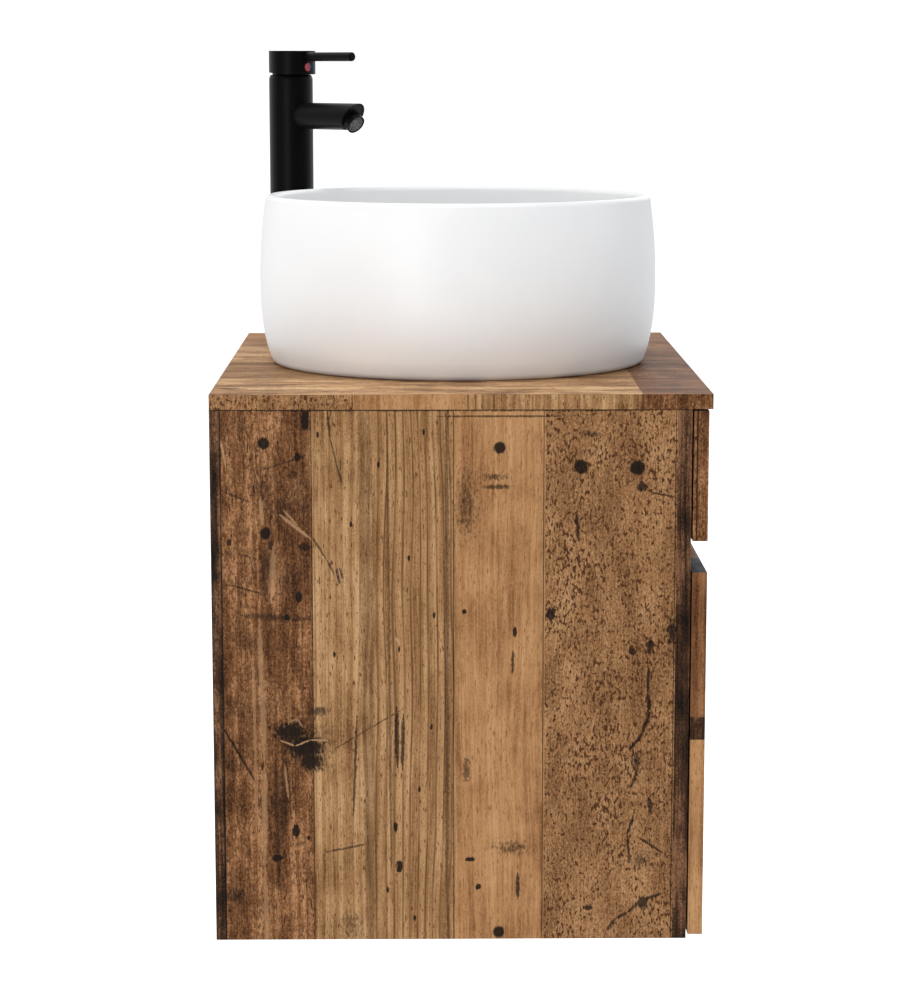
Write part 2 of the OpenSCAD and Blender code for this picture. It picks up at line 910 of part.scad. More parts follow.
worktop();
side_panel_left();
side_panel_right();
bottom_panel();
back_rail_top();
back_rail_bottom();
mid_stretcher();
carcass_dowels();
wall_rail();
hanger_left();
hanger_right();
cabinet_screws();
upper_front();
upper_drawer_subfront();
upper_drawer_side_left();
upper_drawer_side_right();
upper_drawer_back();
upper_drawer_bottom();
trap_surround();
upper_drawer_screws();
lower_front();
lower_drawer_subfront();
lower_drawer_side_left();
lower_drawer_side_right();
lower_drawer_back();
lower_drawer_bottom();
lower_drawer_screws();
upper_runner_cabinet_left();
upper_runner_cabinet_right();
upper_runner_middles();
upper_runner_drawer_left();
upper_runner_drawer_right();
lower_runner_cabinet_left();
lower_runner_cabinet_right();
lower_runner_middles();
lower_runner_drawer_left();
lower_runner_drawer_right();
basin();
waste_body();
waste_plug();
waste_washer();
waste_nut();
trap_inlet_nut();
trap_head();
trap_bottle();
trap_outlet_nut();
trap_outlet_pipe();
tap_body();
tap_spout();
aerator();
tap_base_seal();
tap_stud();
tap_fixing_nut();
tap_washer();
cartridge();
cartridge_nut();
cartridge_stem();
handle_cap();
lever();
index_button();
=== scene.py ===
"""Looks of the wall-hung vanity with its vessel basin and tall mixer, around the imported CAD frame."""

import json
import math

import bmesh
import bpy
from mathutils import Matrix, Vector


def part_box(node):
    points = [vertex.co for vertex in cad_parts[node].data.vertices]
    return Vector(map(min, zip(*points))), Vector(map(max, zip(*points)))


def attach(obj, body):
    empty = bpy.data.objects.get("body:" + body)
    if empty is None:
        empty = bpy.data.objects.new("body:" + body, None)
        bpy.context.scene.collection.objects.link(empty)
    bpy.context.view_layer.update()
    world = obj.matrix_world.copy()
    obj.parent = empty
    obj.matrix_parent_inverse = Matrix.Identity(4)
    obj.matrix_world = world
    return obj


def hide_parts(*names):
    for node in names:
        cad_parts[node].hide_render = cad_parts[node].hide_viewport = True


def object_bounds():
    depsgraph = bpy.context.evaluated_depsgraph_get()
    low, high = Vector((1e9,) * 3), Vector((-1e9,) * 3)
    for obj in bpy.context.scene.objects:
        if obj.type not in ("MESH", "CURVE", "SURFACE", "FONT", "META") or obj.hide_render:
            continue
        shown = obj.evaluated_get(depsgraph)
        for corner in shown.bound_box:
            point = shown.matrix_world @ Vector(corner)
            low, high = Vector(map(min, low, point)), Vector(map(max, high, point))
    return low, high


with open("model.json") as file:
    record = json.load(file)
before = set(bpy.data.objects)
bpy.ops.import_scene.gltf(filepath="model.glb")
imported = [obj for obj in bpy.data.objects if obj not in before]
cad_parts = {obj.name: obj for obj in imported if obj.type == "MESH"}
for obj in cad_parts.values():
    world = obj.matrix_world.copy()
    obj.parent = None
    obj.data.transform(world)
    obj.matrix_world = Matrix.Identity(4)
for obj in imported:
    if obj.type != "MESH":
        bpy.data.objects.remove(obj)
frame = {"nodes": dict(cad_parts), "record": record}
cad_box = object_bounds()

MM = 0.001
NEAR_BLACK = (0.007, 0.005, 0.004)
PALE_SCRATCH = (0.46, 0.27, 0.14)
HALF_WIDTH = cad_box[1].x / MM
SPOUT_FACE_SLOPE = math.radians(35)


# ---------- camera, floor and light ----------


def make_camera():
    """As high as the tap's cap, facing the cabinet's left side and tilted slightly down."""
    data = bpy.data.cameras.new("camera")
    camera = bpy.data.objects.new("camera", data)
    bpy.context.scene.collection.objects.link(camera)
    camera.location = (-2.397, -0.173, 0.320)
    target = Vector((0.0, -0.2037, -0.0647))
    camera.rotation_euler = (target - camera.location).to_track_quat("-Z", "Y").to_euler()
    data.lens = 98.3
    data.sensor_width = 36.0
    bpy.context.scene.camera = camera


def make_floor(drop=0.40, size=80.0, seen=0.62, glow=0.25):
    """A plain pale floor, below the cabinet, which hangs on the wall."""
    level = cad_box[0].z - drop
    mesh = bpy.data.meshes.new("floor")
    half = size / 2
    corners = [(-half, -half, level), (half, -half, level), (half, half, level), (-half, half, level)]
    mesh.from_pydata(corners, [], [(0, 1, 2, 3)])
    floor = bpy.data.objects.new("floor", mesh)
    bpy.context.scene.collection.objects.link(floor)
    material, graph, shader = new_material("floor")
    shader.inputs["Base Color"].default_value = (0.90, 0.90, 0.90, 1.0)
    shader.inputs["Roughness"].default_value = 0.9
    shader.inputs["Specular IOR Level"].default_value = 0.0
    shader.inputs["Emission Color"].default_value = (1.0, 1.0, 1.0, 1.0)
    seen_by_camera = graph.add("LightPath").outputs["Is Camera Ray"]
    graph.feed(shader.inputs["Emission Strength"],
               graph.math("MULTIPLY_ADD", seen_by_camera, seen - glow, glow))
    mesh.materials.append(material)


def make_world(seen=1.1, bright=0.76, dim=0.46):
    """A white surround. It lights the object more from the wall's side than from the front,
    less from below, and has a darker patch straight ahead of the side panel."""
    world = bpy.data.worlds.new("surround")
    world.use_nodes = True
    graph = Graph(world.node_tree)
    x, y, z = graph.separate(graph.add("TexCoord").outputs["Generated"])
    side = graph.step(y, -0.9, 0.6)
    light = graph.mix(side, (dim * 0.93, dim * 0.99, dim * 1.06), (bright, bright, bright))
    below = graph.step(z, -0.30, 0.10, 0.35, 1.0)
    above = graph.step(z, 0.15, 0.70, 1.0, 1.8)
    ahead = graph.step(x, -0.98, -0.72, 0.22, 1.0)
    shade = graph.math("MULTIPLY", graph.math("MULTIPLY", below, above), ahead)
    light = graph.mix(shade, (0.0, 0.0, 0.0), light)
    seen_by_camera = graph.add("LightPath").outputs["Is Camera Ray"]
    colour = graph.mix(seen_by_camera, light, (seen, seen, seen))
    background = world.node_tree.nodes["Background"]
    graph.feed(background.inputs["Color"], colour)
    bpy.context.scene.world = world


def make_area_light(name, place, aim, size, power):
    data = bpy.data.lights.new(name, "AREA")
    data.shape = "DISK"
    data.size = size
    data.energy = power
    light = bpy.data.objects.new(name, data)
    light.location = place
    light.rotation_euler = (Vector(aim) - Vector(place)).to_track_quat("-Z", "Y").to_euler()
    bpy.context.scene.collection.objects.link(light)


def make_studio():
    bpy.context.scene.view_settings.view_transform = "Standard"
    make_world()
    make_floor()
    middle = (cad_box[0] + cad_box[1]) / 2
    make_area_light("key", (-2.6, 1.0, 0.15), middle, 1.2, 23.0)
    make_area_light("front", (-0.4, -3.2, 1.2), middle, 2.4, 12.0)
    make_area_light("far_side", (2.8, -1.4, 1.4), middle, 2.0, 14.0)
    make_area_light("overhead", (-0.1, 0.0, 2.7), middle, 1.8, 34.0)


# ---------- shader graph helper ----------


class Graph:
    """Adds nodes to one material, or node group, and joins them up."""

    def __init__(self, tree):
        self.tree = tree

    def add(self, kind, **settings):
        node = self.tree.nodes.new("ShaderNode" + kind)
        for name, value in settings.items():
            setattr(node, name, value)
        return node

    def feed(self, socket, value):
        if isinstance(value, bpy.types.NodeSocket):
            self.tree.links.new(value, socket)
        else:
            socket.default_value = value

    def math(self, operation, *values, clamp=False):
        node = self.add("Math", operation=operation, use_clamp=clamp)
        for socket, value in zip(node.inputs, values):
            self.feed(socket, value)
        return node.outputs[0]

    def vector(self, operation, *values):
        node = self.add("VectorMath", operation=operation)
        for socket, value in zip(node.inputs, values):
            self.feed(socket, value)
        return node.outputs[0]

    def length(self, value):
        node = self.add("VectorMath", operation="LENGTH")
        self.feed(node.inputs[0], value)
        return node.outputs["Value"]

    def dot(self, a, b):
        node = self.add("VectorMath", operation="DOT_PRODUCT")
        self.feed(node.inputs[0], a)
        self.feed(node.inputs[1], b)
        return node.outputs["Value"]

    def scale(self, value, factor):
        node = self.add("VectorMath", operation="SCALE")
        self.feed(node.inputs[0], value)
        self.feed(node.inputs["Scale"], factor)
        return node.outputs[0]

    def combine(self, x, y, z=0.0):
        node = self.add("CombineXYZ")
        for socket, value in zip(node.inputs, (x, y, z)):
            self.feed(socket, value)
        return node.outputs[0]

    def separate(self, value):
        node = self.add("SeparateXYZ")
        self.feed(node.inputs[0], value)
        return node.outputs

    def step(self, value, low, high, start=0.0, end=1.0):
        """Smooth step from start to end while value goes from low to high."""
        node = self.add("MapRange", interpolation_type="SMOOTHSTEP")
        for name, given in (("Value", value), ("From Min", low), ("From Max", high),
                            ("To Min", start), ("To Max", end)):
            self.feed(node.inputs[name], given)
        return node.outputs["Result"]

    def mix(self, share, a, b):
        node = self.add("Mix", data_type="RGBA")
        for socket, value in ((node.inputs[0], share), (node.inputs[6], a), (node.inputs[7], b)):
            if isinstance(value, tuple):
                value = (*value, 1.0)
            self.feed(socket, value)
        return node.outputs[2]

    def noise(self, vector, detail=2.0, roughness=0.5):
        """Noise centred on zero, about -0.5 to 0.5, one cell for each unit of the vector."""
        node = self.add("TexNoise")
        self.feed(node.inputs["Vector"], vector)
        node.inputs["Scale"].default_value = 1.0
        node.inputs["Detail"].default_value = detail
        node.inputs["Roughness"].default_value = roughness
        return self.math("SUBTRACT", node.outputs["Fac"], 0.5)

    def table(self, value, rows):
        """Colour that holds each row's value up to that row's share of the width."""
        node = self.add("ValToRGB")
        node.color_ramp.interpolation = "CONSTANT"
        stops = node.color_ramp.elements
        start = 0.0
        for i, (end, colour) in enumerate(rows):
            stop = stops[i] if i < 2 else stops.new(start)
            stop.position = start
            stop.color = (*colour, 1.0)
            start = end
        self.feed(node.inputs["Fac"], value)
        return node.outputs["Color"]


def new_material(name):
    """A fresh material, its graph and its Principled shader."""
    material = bpy.data.materials.new(name)
    material.use_nodes = True
    return material, Graph(material.node_tree), material.node_tree.nodes["Principled BSDF"]


def bump(graph, shader, height, distance_mm, strength=1.0):
    node = graph.add("Bump")
    node.inputs["Strength"].default_value = strength
    node.inputs["Distance"].default_value = distance_mm * MM
    graph.feed(node.inputs["Height"], height)
    graph.feed(shader.inputs["Normal"], node.outputs["Normal"])


def millimetres(graph):
    """The point's place in the row's frame, in millimetres, as x, y and z sockets."""
    place = graph.add("TexCoord").outputs["Object"]
    return graph.separate(graph.scale(place, 1.0 / MM))


# ---------- old wood ----------

# One timber: its dark, middle and light tones, then how strongly it shows soft growth rings,
# broad patches and short dark flecks, then thin grain lines, pores and fine mottling.
TIMBERS = {
    "char": ((0.006, 0.004, 0.003), (0.060, 0.027, 0.013), (0.230, 0.110, 0.055),
             (0.7, 1.0, 0.5), (0.4, 0.6, 1.6)),
    "worn": ((0.036, 0.012, 0.004), (0.195, 0.083, 0.032), (0.430, 0.215, 0.098),
             (0.35, 0.8, 0.6), (0.4, 0.9, 2.2)),
    "straw": ((0.105, 0.040, 0.012), (0.345, 0.185, 0.080), (0.520, 0.320, 0.158),
              (0.55, 0.65, 0.06), (0.4, 0.95, 1.2)),
    "reeded": ((0.105, 0.042, 0.013), (0.330, 0.174, 0.074), (0.520, 0.310, 0.152),
               (0.5, 0.35, 0.05), (0.95, 0.9, 1.1)),
    "amber": ((0.150, 0.058, 0.018), (0.390, 0.198, 0.084), (0.530, 0.300, 0.140),
              (0.4, 0.5, 0.05), (0.12, 0.6, 1.0)),
    "flecked": ((0.060, 0.021, 0.007), (0.285, 0.140, 0.058), (0.470, 0.265, 0.128),
                (0.1, 0.5, 0.95), (0.0, 0.5, 2.2)),
    # pale is straw made about half as light again, used only on the worktop's top: partly the planks'
    # own lighter tone, partly painted light for the top's sheen and the light from above.
    "pale": ((0.130, 0.052, 0.018), (0.530, 0.300, 0.138), (0.740, 0.480, 0.265),
             (0.7, 0.9, 0.15), (0.35, 0.95, 1.2)),
    # slate is not a timber tone: a near-black blue-grey, used only on the first 66 mm of the drawer
    # fronts' top and bottom edges from their left end.
    "slate": ((0.006, 0.008, 0.010), (0.022, 0.028, 0.032), (0.060, 0.064, 0.066),
              (0.5, 0.8, 0.2), (0.3, 0.4, 0.6)),
    "russet": ((0.045, 0.015, 0.006), (0.200, 0.085, 0.034), (0.360, 0.170, 0.076),
               (0.45, 0.6, 0.2), (0.3, 0.6, 1.3)),
}


def mark_group(name, sizes):
    """Node group that adds one mark. Its vector holds across, along and, in z, the darkness so far.

    Carrying the total in the vector makes Cycles work the marks out one after another, which
    keeps its stack small. Returns the group, its graph, its inputs, and the flat point."""
    group = bpy.data.node_groups.new(name, "ShaderNodeTree")
    for socket, kind in (("Carried", "Vector"), *sizes, ("Noise", "Float"), ("Strength", "Float")):
        group.interface.new_socket(socket, in_out="INPUT", socket_type="NodeSocket" + kind)
    group.interface.new_socket("Carried", in_out="OUTPUT", socket_type="NodeSocketVector")
    graph = Graph(group)
    given = group.nodes.new("NodeGroupInput").outputs
    flat = graph.vector("MULTIPLY", given["Carried"], (1.0, 1.0, 0.0))
    return group, graph, given, flat


def close_mark_group(group, graph, given, mask):
    """Joins the mark's mask to the darkness so far and hands the vector on."""
    across, along, total = graph.separate(given["Carried"])
    mask = graph.math("MULTIPLY", mask, given["Strength"])
    carried = graph.combine(across, along, graph.math("MAXIMUM", total, mask))
    graph.feed(group.nodes.new("NodeGroupOutput").inputs[0], carried)
    return group


def spot_group():
    """A ragged ellipse: a nail hole, knot or burn."""
    sizes = (("Centre", "Vector"), ("Radii", "Vector"), ("Ragged", "Float"), ("Edge", "Float"))
    group, graph, given, flat = mark_group("spot", sizes)
    offset = graph.vector("SUBTRACT", flat, given["Centre"])
    reach = graph.length(graph.vector("DIVIDE", offset, given["Radii"]))
    reach = graph.math("MULTIPLY_ADD", given["Noise"], given["Ragged"], reach)
    mask = graph.step(reach, graph.math("SUBTRACT", 1.0, given["Edge"]), 1.0, 1.0, 0.0)
    return close_mark_group(group, graph, given, mask)


def line_mark_group():
    """A straight line mark that tapers to its ends: cracks, scratches and the painted shadow line under
    the worktop.
    """
    sizes = (("Start", "Vector"), ("End", "Vector"), ("Width", "Float"))
    group, graph, given, flat = mark_group("line_mark", sizes)
    run = graph.vector("SUBTRACT", given["End"], given["Start"])
    offset = graph.vector("SUBTRACT", flat, given["Start"])
    share = graph.math("DIVIDE", graph.dot(offset, run), graph.dot(run, run), clamp=True)
    gap = graph.length(graph.vector("SUBTRACT", offset, graph.scale(run, share)))
    unevenness = graph.math("MULTIPLY_ADD", given["Width"], 1.1, 0.6)
    gap = graph.math("MULTIPLY_ADD", given["Noise"], unevenness, gap)
    taper = graph.math("PINGPONG", share, 0.5)
    reach = graph.math("MULTIPLY", given["Width"], graph.step(taper, -0.05, 0.25, 0.2, 1.0))
    mask = graph.step(gap, graph.math("MULTIPLY", reach, 0.3), reach, 1.0, 0.0)
    return close_mark_group(group, graph, given, mask)


SPOT = spot_group()
LINE_MARK = line_mark_group()


class Marks:
    """Adds nail holes, burns, cracks and painted shadow lines to one face of a board, one after
    another.
    """

    def __init__(self, graph, across, along, noise, start):
        self.graph = graph
        self.noise = noise
        self.carried = graph.combine(across, along, start)

    def put(self, group, **values):
        node = self.graph.add("Group", node_tree=group)
        for name, value in values.items():
            self.graph.feed(node.inputs[name], value)
        self.graph.feed(node.inputs["Noise"], self.noise)
        self.graph.feed(node.inputs["Carried"], self.carried)
        self.carried = node.outputs[0]

    def spot(self, across, along, r_across, r_along, ragged=0.5, edge=0.35, strength=0.95):
        self.put(SPOT, Centre=(across, along, 0.0), Radii=(r_across, r_along, 1.0),
                 Ragged=ragged, Edge=edge, Strength=strength)

    def line_mark(self, start, end, width, strength=0.85):
        self.put(LINE_MARK, Start=(*start, 0.0), End=(*end, 0.0), Width=width, Strength=strength)

    def path(self, points, width, strength=0.85):
        for start, end in zip(points, points[1:]):
            self.line_mark(start, end, width, strength)

    def darkness(self):
        return self.graph.separate(self.carried)[2]


def plank_colour(graph, pick, across, along, depth, planks):
    """Colour and relief of planks. pick chooses the plank by its end, along the list planks;
    across and along are measured over and with the grain, all in millimetres."""
    width = planks[-1][0]
    share = graph.math("DIVIDE", pick, width)
    rows = [(end / width, TIMBERS[timber]) for end, timber in planks]
    dark, middle, light, soft, fine = (
        graph.table(share, [(end, timber[part]) for end, timber in rows]) for part in range(5))
    shift = graph.table(share, [(end, ((0.37 * i) % 1.0,) * 3) for i, (end, _) in enumerate(rows)])
    shift = graph.math("MULTIPLY", shift, 400.0)
    rings_share, patch_share, fleck_share = graph.separate(soft)
    line_share, pore_share, mottle_share = graph.separate(fine)
    start = graph.math("ADD", along, shift)
    layer = graph.math("DIVIDE", graph.math("ADD", depth, shift), 40.0)

    def field(cell_across, cell_along, detail, roughness=0.55, source=across):
        vector = graph.combine(graph.math("DIVIDE", source, cell_across),
                               graph.math("DIVIDE", start, cell_along), layer)
        return graph.noise(vector, detail, roughness)

    bent = graph.math("MULTIPLY_ADD", field(60.0, 230.0, 1.0), 14.0, across)
    rings = graph.step(field(4.5, 320.0, 2.0, 0.6, bent), -0.16, 0.16, -0.5, 0.5)
    ring_gap = 3.3
    wander = graph.math("MULTIPLY_ADD", field(14.0, 300.0, 1.0, 0.5), 7.0, bent)
    lines = graph.step(graph.math("PINGPONG", wander, ring_gap), 0.0, 1.3, 1.0, 0.0)
    lines = graph.math("MULTIPLY", lines, graph.step(field(5.0, 60.0, 1.0), -0.25, 0.10, 0.45, 1.0))
    fibre = field(0.8, 26.0, 2.0, 0.65, bent)
    pores = graph.step(field(1.1, 7.0, 1.0, 0.5), 0.13, 0.19)
    patches = graph.step(field(24.0, 55.0, 4.0, 0.62), -0.2, 0.2, -0.5, 0.5)
    mottle = field(1.2, 2.0, 2.0, 0.75)
    flecks = graph.math("MULTIPLY_ADD", field(30.0, 45.0, 1.0), 0.20, field(2.0, 4.2, 2.0, 0.6))
    flecks = graph.step(flecks, 0.04, 0.12)

    tone = graph.math("MULTIPLY", rings, rings_share)
    tone = graph.math("MULTIPLY_ADD", patches, patch_share, tone)
    tone = graph.math("MULTIPLY_ADD", fibre, 1.0, tone)
    tone = graph.math("MULTIPLY_ADD", mottle, mottle_share, tone)
    colour = graph.mix(graph.math("MULTIPLY", tone, 1.7, clamp=True), middle, light)
    shade = graph.math("MULTIPLY", tone, -1.5, clamp=True)
    for mask, amount in ((flecks, fleck_share), (lines, line_share), (pores, pore_share)):
        part = graph.math("MULTIPLY", mask, amount)
        shade = graph.math("MAXIMUM", shade, part)
    return graph.mix(shade, colour, dark), fibre


def joint_mask(graph, across, joints, width_mm=0.6):
    """Dark lines between planks."""
    total = 0.0
    for place in joints:
        gap = graph.math("ABSOLUTE", graph.math("SUBTRACT", across, place))
        total = graph.math("MAXIMUM", total, graph.step(gap, width_mm * 0.3, width_mm, 0.8, 0.0))
    return total


def ragged_noise(graph, across, along):
    """Small noise that breaks up the outlines of marks."""
    return graph.noise(graph.combine(graph.math("DIVIDE", across, 2.0),
                                     graph.math("DIVIDE", along, 4.0)), 2.0, 0.6)


def finish_wood(graph, shader, colour, fibre):
    """Satin laminate with a slight relief that follows the fibres."""
    graph.feed(shader.inputs["Base Color"], colour)
    shader.inputs["Specular IOR Level"].default_value = 0.06
    graph.feed(shader.inputs["Roughness"], graph.step(fibre, -0.3, 0.3, 0.55, 0.42))
    bump(graph, shader, fibre, 0.10, 0.4)


def side_left_marks(marks):
    """Nail holes, burns and cracks of the left side panel, with a painted shadow line under the
    worktop: across is the distance from the wall.
    """
    # shadow line under the worktop
    marks.line_mark((-20.0, 47.8), (404.0, 47.8), 1.7, 0.85)
    # stains of the first plank
    for across, along, r_across, r_along, strength in (
            (42.0, -14.0, 14.0, 22.0, 0.55), (58.0, -32.0, 18.0, 14.0, 0.6),
            (44.0, -78.0, 14.0, 26.0, 0.55), (30.0, -140.0, 18.0, 14.0, 0.4),
            (70.0, -18.0, 10.0, 26.0, 0.45), (24.0, 36.0, 8.0, 10.0, 0.5),
            (62.0, -88.0, 16.0, 20.0, 0.4), (22.0, -196.0, 14.0, 12.0, 0.4),
            (44.0, -190.0, 12.0, 10.0, 0.35), (16.0, -240.0, 10.0, 16.0, 0.4)):
        marks.spot(across, along, r_across, r_along, ragged=2.4, edge=1.0, strength=strength)
    # nail holes and cracks of the first plank
    marks.spot(43.0, 21.0, 6.0, 5.8)
    marks.spot(43.8, -51.3, 5.4, 6.2)
    marks.spot(48.0, -61.0, 2.8, 4.6, strength=0.8)
    marks.spot(69.7, 10.1, 3.0, 4.8)
    marks.spot(69.7, -103.1, 3.6, 5.4)
    marks.spot(60.0, -119.6, 2.8, 3.0)
    marks.spot(14.7, -58.6, 2.6, 3.2, strength=0.85)
    marks.spot(76.2, 40.0, 3.8, 10.0, ragged=0.9)
    marks.spot(66.0, -4.0, 5.0, 4.0, ragged=1.6, strength=0.6)
    marks.spot(74.5, -62.2, 5.6, 3.8, ragged=1.2, strength=0.75)
    marks.line_mark((40.0, -1.0), (78.0, 12.0), 1.2, 0.6)
    marks.line_mark((12.0, -18.0), (32.0, -26.0), 1.3, 0.6)
    marks.line_mark((14.0, -93.0), (40.0, -100.0), 1.3, 0.7)
    marks.line_mark((22.0, -68.0), (44.0, -74.0), 1.2, 0.5)
    marks.line_mark((24.0, -118.0), (78.0, -121.0), 4.2, 0.5)
    marks.line_mark((42.0, -74.0), (43.0, -104.0), 3.0, 0.65)
    # burnt knot
    marks.spot(70.0, -222.0, 34.0, 26.0, ragged=2.2, edge=1.0, strength=0.6)
    marks.spot(62.0, -214.0, 20.0, 13.0, ragged=1.5, edge=0.6)
    marks.spot(74.0, -226.0, 21.0, 14.0, ragged=1.2, edge=0.5)
    marks.spot(79.0, -238.0, 15.0, 12.0, ragged=1.1, edge=0.6)
    marks.spot(84.0, -197.0, 11.0, 5.0, ragged=1.8, edge=0.7, strength=0.75)
    # lower half of the first plank
    marks.line_mark((7.9, -210.0), (34.0, -256.0), 1.6)
    marks.line_mark((50.0, -232.0), (51.0, -352.0), 2.6, 0.6)
    marks.line_mark((54.0, -244.0), (56.0, -300.0), 4.6, 0.45)
    marks.line_mark((60.0, -248.0), (62.0, -290.0), 1.2, 0.6)
    marks.spot(66.0, -296.3, 3.4, 7.0, ragged=1.5)
    marks.spot(76.0, -302.0, 1.8, 2.2)
    marks.spot(50.5, -319.0, 5.0, 4.0, ragged=1.3)
    marks.spot(16.3, -350.0, 14.0, 10.0, ragged=1.8, edge=1.0, strength=0.75)
    # second plank
    marks.line_mark((123.0, 120.0), (127.0, -460.0), 7.0, 0.30)
    marks.path([(93.5, 47.0), (96.0, 25.0), (105.3, -11.7)], 1.5, 0.8)
    marks.path([(80.2, -52.9), (92.0, -72.0), (103.6, -93.4)], 1.3, 0.75)
    marks.spot(102.0, -86.0, 5.0, 9.0, ragged=2.6, edge=0.7, strength=0.85)
    marks.line_mark((93.1, -230.8), (155.4, -193.6), 1.0, 0.65)
    marks.line_mark((147.8, -194.0), (148.2, -244.0), 2.6)
    marks.line_mark((153.2, -200.0), (152.0, -246.0), 2.2)
    marks.line_mark((115.8, -200.0), (112.5, -284.0), 1.7, 0.8)
    marks.line_mark((89.9, -314.1), (123.0, -307.6), 1.4, 0.7)
    marks.spot(146.5, -293.0, 2.2, 5.0, ragged=1.3)
    marks.spot(149.7, -326.2, 3.2, 6.0, ragged=1.5)
    marks.spot(110.0, -376.0, 12.0, 14.0, ragged=3.2, edge=1.0, strength=0.55)
    marks.line_mark((141.0, 40.0), (143.0, -330.0), 1.6, 0.55)
    marks.line_mark((188.0, 90.0), (188.5, -400.0), 2.6, 0.5)
    for across, along in ((86.0, 28.0), (112.0, -44.0), (134.0, 4.0), (158.0, -72.0),
                          (170.0, 30.0), (150.0, -146.0), (178.0, -118.0), (98.0, -150.0),
                          (166.0, -262.0), (176.0, -210.0), (140.0, -346.0), (162.0, -370.0)):
        marks.spot(across, along, 1.3, 3.0, ragged=1.2)
    # third plank
    marks.line_mark((180.0, 42.6), (280.0, 42.6), 1.2, 0.75)
    marks.spot(230.6, 17.4, 5.8, 5.8)
    marks.spot(230.6, -382.0, 5.6, 6.0)
    marks.spot(226.0, -6.0, 13.0, 3.4, ragged=2.6, edge=0.7, strength=0.7)
    marks.spot(229.0, -14.0, 15.0, 2.6, ragged=2.0, edge=0.6, strength=0.75)
    marks.spot(205.0, -28.0, 10.0, 34.0, ragged=3.8, edge=1.0, strength=0.6)
    marks.spot(202.3, -115.2, 2.4, 2.4)
    marks.spot(243.0, -132.0, 2.0, 5.0, ragged=1.2)
    marks.line_mark((241.5, -147.0), (241.0, -168.0), 1.7)
    marks.spot(240.3, -311.0, 18.0, 7.0, ragged=3.4, edge=1.0, strength=0.7)
    marks.spot(207.1, -320.5, 5.0, 2.4, ragged=1.4)
    marks.spot(213.6, -344.0, 2.8, 3.0, ragged=1.2)
    marks.line_mark((245.9, -332.0), (245.9, -354.0), 2.4)
    marks.spot(204.0, -246.0, 3.0, 12.0, ragged=2.6, strength=0.6)
    # fourth plank
    marks.spot(295.2, 2.0, 7.0, 7.0)
    marks.spot(340.2, 1.2, 7.0, 7.2)
    marks.spot(344.0, -14.0, 5.0, 4.2, ragged=1.8, strength=0.85)
    marks.spot(304.0, 28.0, 12.0, 3.0, ragged=2.6, edge=0.8, strength=0.7)
    marks.line_mark((349.4, -18.2), (371.2, -23.0), 1.2, 0.75)
    marks.line_mark((292.0, -36.0), (293.5, -58.0), 2.2, 0.85)
    marks.spot(271.8, -116.8, 4.6, 6.6, ragged=2.0, strength=0.9)
    marks.spot(369.0, -132.2, 5.0, 14.0, ragged=2.4, edge=0.6, strength=0.9)
    marks.spot(351.8, -144.0, 4.0, 7.0, ragged=2.2, strength=0.85)
    marks.spot(337.0, -148.0, 3.0, 4.0, ragged=2.0, strength=0.85)
    marks.path([(351.0, -160.0), (350.0, -182.0), (352.5, -198.0), (346.0, -216.0), (342.0, -222.0),
                (336.0, -229.0)], 2.0, 0.9)
    marks.spot(351.5, -190.0, 3.2, 10.0, ragged=2.2, edge=0.6, strength=0.85)
    marks.path([(341.0, -230.0), (343.0, -244.0), (337.0, -262.0)], 1.8, 0.8)
    marks.spot(341.0, -240.0, 6.0, 14.0, ragged=2.8, edge=0.9, strength=0.7)
    marks.path([(340.0, -284.0), (335.0, -300.0), (337.0, -324.0)], 1.8, 0.8)
    marks.spot(346.0, -322.0, 10.0, 8.0, ragged=2.8, edge=0.9, strength=0.6)
    marks.spot(353.0, -276.0, 2.4, 8.0, ragged=1.8, strength=0.8)
    marks.line_mark((342.9, -301.9), (364.0, -316.0), 1.4, 0.85)
    marks.path([(318.0, -382.0), (326.0, -371.0), (335.7, -366.0), (346.0, -356.0), (364.0, -350.0)],
               2.0, 0.8)
    marks.spot(348.0, -358.0, 5.0, 7.0, ragged=1.8, strength=0.85)
    marks.spot(303.0, -362.0, 5.0, 2.4, ragged=1.6, strength=0.85)


def side_left_scratches(marks):
    """Pale splinters and scratches of the left side panel."""
    marks.path([(54.0, -221.0), (66.0, -225.5), (78.0, -220.5), (92.0, -221.0)], 1.0, 0.7)
    marks.path([(60.0, -206.0), (68.0, -203.0), (72.0, -210.0)], 0.8, 0.5)
    marks.line_mark((55.0, -36.0), (80.0, -56.0), 2.0, 0.6)
    marks.line_mark((58.0, -32.0), (70.0, -46.0), 1.4, 0.5)
    marks.line_mark((40.0, -22.0), (41.0, -44.0), 2.4, 0.5)
    marks.line_mark((9.0, 24.0), (13.0, 2.0), 1.4, 0.6)
    marks.line_mark((50.0, -62.0), (48.0, -108.0), 3.4, 0.4)
    marks.path([(38.0, -120.0), (41.0, -240.0), (40.0, -330.0), (42.0, -430.0)], 3.2, 0.4)
    marks.line_mark((33.0, -150.0), (34.0, -300.0), 1.8, 0.35)
    marks.line_mark((57.0, -240.0), (60.0, -270.0), 1.4, 0.5)
    for start in (98.0, 101.5, 105.0):
        marks.line_mark((start, -80.0), (start + 3.0, -92.0), 1.0, 0.7)
    marks.line_mark((97.0, 24.0), (104.0, -4.0), 1.0, 0.4)
    marks.line_mark((147.0, -136.0), (151.0, -142.0), 1.3, 0.9)


